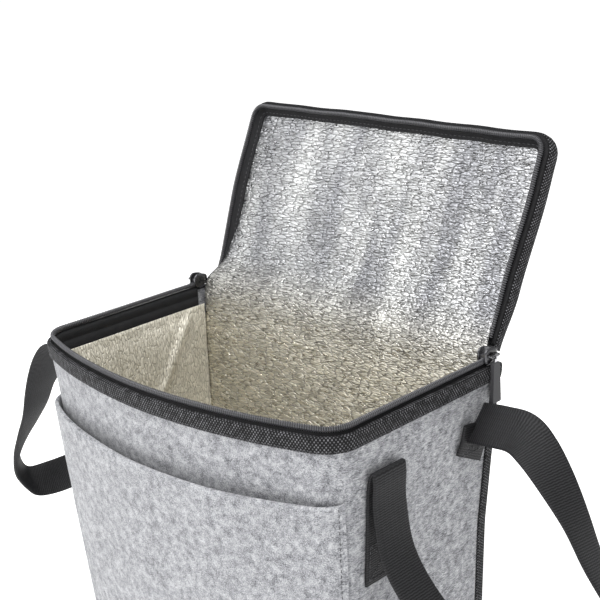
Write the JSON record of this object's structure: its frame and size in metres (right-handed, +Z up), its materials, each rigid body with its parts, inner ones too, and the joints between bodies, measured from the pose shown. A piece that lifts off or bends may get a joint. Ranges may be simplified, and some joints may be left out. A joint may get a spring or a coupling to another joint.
{
  "type": "insulated cooler bag",
  "caption": "Box-shaped felt cooler bag with a foil lining, a zipped lid hinged at the back, a front pocket and webbing loop handles at the sides.",
  "frame": {"origin": "centre of the base, on the surface that the bag stands on", "axes": "+Z up, +X to the bag's right, -Y to the front with the pocket, lid hinged along the back"},
  "size_m": [0.5444, 0.2269, 0.3293],
  "materials": {
    "felt": "needle-punched polyester felt, light grey melange",
    "foam": "closed-cell polyethylene foam",
    "foil": "embossed aluminised film",
    "woven_band": "coarse woven polypropylene binding",
    "lining_tape": "fine woven polyester tape",
    "zip_tape": "woven polyester zip tape",
    "zip_coil": "nylon coil teeth",
    "webbing": "ribbed polypropylene webbing",
    "slider_metal": "black enamelled zinc",
    "link_metal": "nickel-plated wire",
    "tab_rubber": "moulded soft plastic, matt"
  },
  "bodies": {
    "bag": {"felt_wrap": "felt", "felt_back_panel": "felt", "felt_base_panel": "felt", "pocket_panel": "felt", "foam_base": "foam", "foam_front": "foam", "foam_back": "foam", "foam_left": "foam", "foam_right": "foam", "foil_lining": "foil", "rim_band": "woven_band", "seam_binding_left": "woven_band", "seam_binding_right": "woven_band", "rim_inner_tape": "lining_tape", "hinge_strip_body": "lining_tape", "zip_tape_body": "zip_tape", "zip_coil_body": "zip_coil", "handle_anchor_left_front": "webbing", "handle_anchor_left_back": "webbing", "handle_anchor_right_front": "webbing", "handle_anchor_right_back": "webbing"},
    "lid": {"lid_felt": "felt", "lid_foam": "foam", "lid_foil": "foil", "lid_band": "woven_band", "lid_inner_tape": "lining_tape", "lid_zip_tape": "zip_tape", "lid_zip_coil": "zip_coil", "hinge_strip_lid": "lining_tape"},
    "left_slider": {"slider_left": "slider_metal"},
    "right_slider": {"slider_right": "slider_metal"},
    "left_pull": {"pull_link_left": "link_metal", "pull_tab_left": "tab_rubber"},
    "right_pull": {"pull_link_right": "link_metal", "pull_tab_right": "tab_rubber"},
    "left_handle": {"handle_left": "webbing"},
    "right_handle": {"handle_right": "webbing"}
  },
  "joints": [
    {"name": "lid_hinge", "type": "hinge", "parent": "bag", "child": "lid", "pos_m": [0, 0.065, 0.2213], "axis": [-1, 0, 0], "range_deg": [-116, 35]},
    {"name": "left_zip", "type": "slide", "parent": "bag", "child": "left_slider", "axis": [0, -1, 0], "range_m": [0, 0.096]},
    {"name": "left_pull_swing", "type": "hinge", "parent": "left_slider", "child": "left_pull", "pos_m": [-0.1224, 0.0575, 0.2213], "axis": [0, 1, 0], "range_deg": [0, 150]},
    {"name": "left_handle_swing", "type": "hinge", "parent": "bag", "child": "left_handle", "pos_m": [-0.12345, 0.00402, 0.187], "axis": [0, 1, 0], "range_deg": [0, 100]},
    {"name": "right_zip", "type": "slide", "parent": "bag", "child": "right_slider", "axis": [0, -1, 0], "range_m": [0, 0.096]},
    {"name": "right_pull_swing", "type": "hinge", "parent": "right_slider", "child": "right_pull", "pos_m": [0.1224, 0.0575, 0.2213], "axis": [0, -1, 0], "range_deg": [0, 150]},
    {"name": "right_handle_swing", "type": "hinge", "parent": "bag", "child": "right_handle", "pos_m": [0.12345, 0.00402, 0.187], "axis": [0, -1, 0], "range_deg": [0, 100]}
  ]
}
